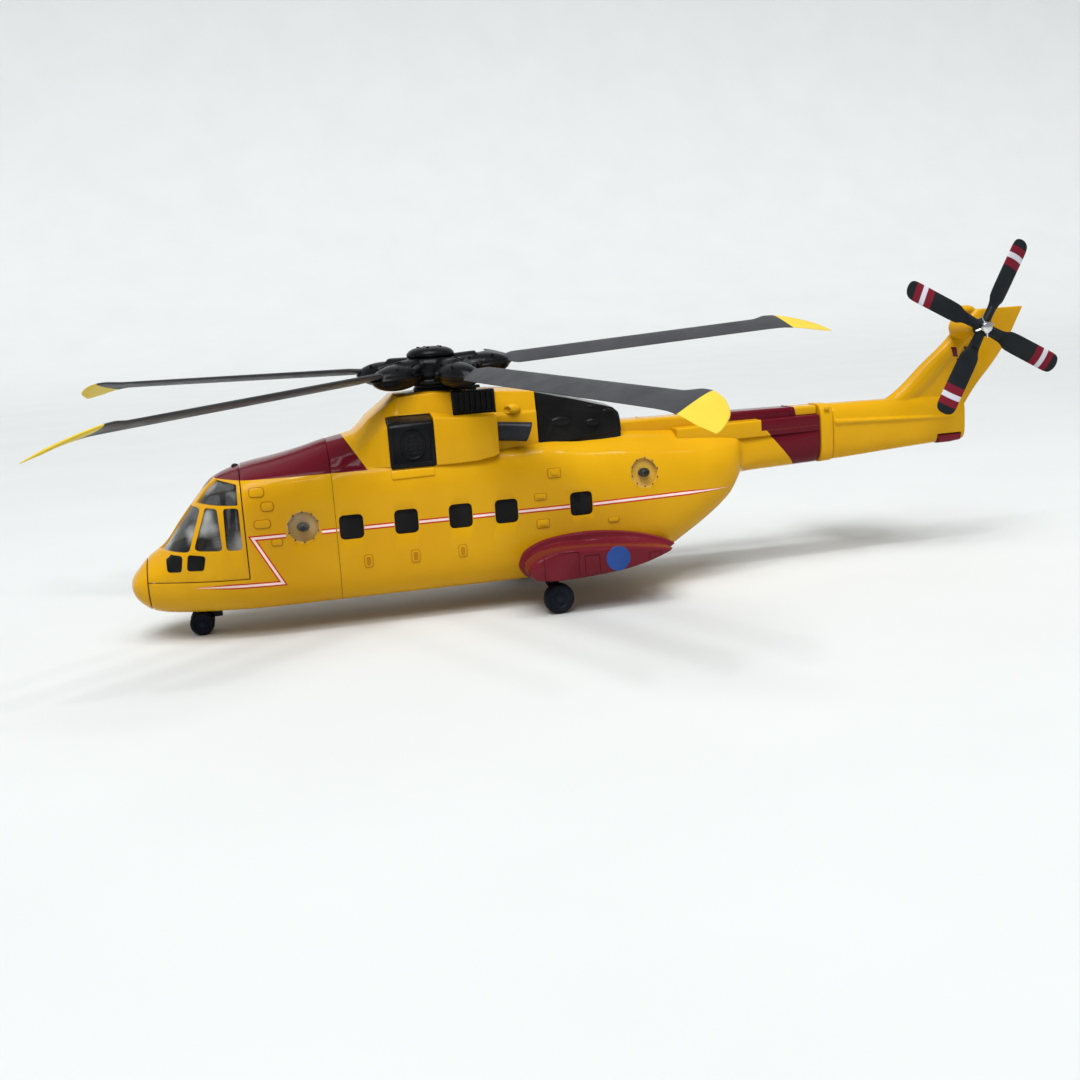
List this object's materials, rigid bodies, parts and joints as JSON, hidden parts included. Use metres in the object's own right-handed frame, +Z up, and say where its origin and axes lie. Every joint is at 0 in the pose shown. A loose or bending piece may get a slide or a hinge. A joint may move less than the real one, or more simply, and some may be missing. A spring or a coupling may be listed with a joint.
{
  "type": "helicopter scale model",
  "caption": "Scale model of a large rescue helicopter with a swept tail fin, broad-tipped main blades, side sponsons and wheels; both rotors and every wheel turn.",
  "frame": {"origin": "middle of the model's footprint, on the ground under the wheels", "axes": "+X towards the nose, +Y to the port side, +Z up; the rotor axis is the line X 43 mm, Y 0"},
  "size_m": [0.2888, 0.2279, 0.093],
  "materials": {
    "yellow_paint": "glossy golden-yellow paint",
    "maroon_paint": "glossy maroon paint",
    "black_plastic": "satin black plastic",
    "blade_grey": "satin dark grey, yellow tips",
    "grey_plastic": "plain grey",
    "tyre_black": "matt blue-black",
    "clear_plastic": "clear, polished",
    "steel": "plain steel",
    "dark_metal": "dark burnt metal",
    "chrome": "polished"
  },
  "bodies": {
    "airframe": {"belly_screw_front_left": "steel", "belly_screw_front_right": "steel", "belly_screw_rear_left": "steel", "belly_screw_rear_right": "steel", "bubble_window_front_left": "clear_plastic", "bubble_window_front_right": "clear_plastic", "bubble_window_rear_left": "clear_plastic", "bubble_window_rear_right": "clear_plastic", "cabin_floor": "grey_plastic", "cockpit_canopy": "yellow_paint", "cockpit_glazing": "clear_plastic", "cockpit_tub": "black_plastic", "cooler_grille_left": "black_plastic", "cooler_grille_right": "black_plastic", "engine_cowl": "yellow_paint", "exhaust_left": "dark_metal", "exhaust_right": "dark_metal", "fold_ring": "yellow_paint", "front_fuselage": "yellow_paint", "fuselage_left": "yellow_paint", "fuselage_right": "yellow_paint", "instrument_panel": "black_plastic", "intake_left": "black_plastic", "intake_right": "black_plastic", "main_gear_leg_left": "black_plastic", "main_gear_leg_right": "black_plastic", "nose_cap": "yellow_paint", "nose_gear_leg": "black_plastic", "pilot_seat_left": "black_plastic", "pilot_seat_right": "black_plastic", "rear_cowl": "black_plastic", "shaft_cover": "yellow_paint", "spine_cover": "maroon_paint", "sponson_left": "maroon_paint", "sponson_right": "maroon_paint", "stabiliser": "yellow_paint", "swashplate": "black_plastic", "tail_bumper": "maroon_paint", "tail_gearbox_cover": "yellow_paint", "tail_left": "yellow_paint", "tail_right": "yellow_paint", "window_strip_left": "black_plastic", "window_strip_right": "black_plastic"},
    "main_rotor": {"rotor_mast": "steel", "rotor_hub": "black_plastic", "rotor_cap": "black_plastic", "main_blade_1": "blade_grey", "main_blade_2": "blade_grey", "main_blade_3": "blade_grey", "main_blade_4": "blade_grey", "main_blade_5": "blade_grey"},
    "tail_rotor_group": {"tail_rotor": "black_plastic", "tail_rotor_pin": "chrome"},
    "nose_wheels": {"nose_axle": "steel", "nose_wheel_left": "tyre_black", "nose_wheel_right": "tyre_black"},
    "main_wheel_group_left": {"main_axle_left": "steel", "main_wheel_left": "tyre_black"},
    "main_wheel_group_right": {"main_axle_right": "steel", "main_wheel_right": "tyre_black"}
  },
  "joints": [
    {"name": "main_rotor_spin", "type": "hinge", "parent": "airframe", "child": "main_rotor", "pos_m": [0.043, 0, 0.0679], "axis": [0, 0, 1], "continuous": true},
    {"name": "tail_rotor_spin", "type": "hinge", "parent": "airframe", "child": "tail_rotor_group", "pos_m": [-0.1194, 0.015, 0.0682], "axis": [0, 1, 0], "continuous": true},
    {"name": "nose_wheel_roll", "type": "hinge", "parent": "airframe", "child": "nose_wheels", "pos_m": [0.1122, 0, 0.0033], "axis": [0, 1, 0], "continuous": true},
    {"name": "main_wheel_roll_left", "type": "hinge", "parent": "airframe", "child": "main_wheel_group_left", "pos_m": [0.0166, 0.0254, 0.0042], "axis": [0, 1, 0], "continuous": true},
    {"name": "main_wheel_roll_right", "type": "hinge", "parent": "airframe", "child": "main_wheel_group_right", "pos_m": [0.0166, -0.0254, 0.0042], "axis": [0, 1, 0], "continuous": true}
  ]
}
